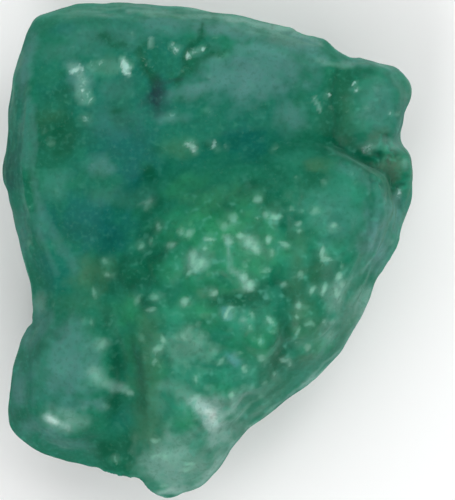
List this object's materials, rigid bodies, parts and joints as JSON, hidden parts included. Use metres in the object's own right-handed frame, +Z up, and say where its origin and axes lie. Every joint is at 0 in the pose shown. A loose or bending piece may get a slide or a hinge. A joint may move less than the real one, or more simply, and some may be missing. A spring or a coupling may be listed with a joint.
{
  "type": "raw emerald crystal",
  "caption": "Rough green emerald: a broken, waxy lump of intergrown crystal with a shallow hollow, a lumpy raised front, two lobes and a pitted nodule, lying on a flat fracture face.",
  "frame": {"origin": "on the surface the stone rests on, under the middle of its bounding box", "axes": "+Y along the stone's longest extent, towards its wide, hollowed end; +X across it, towards the small block and the nodule; +Z up, along its shortest extent"},
  "size_m": [0.0348, 0.042, 0.024],
  "materials": {
    "emerald": "translucent green beryl, waxy and worn, with small glassy facets and milky and brownish patches"
  },
  "bodies": {
    "root": {"emerald_crystal": "emerald"}
  },
  "joints": []
}
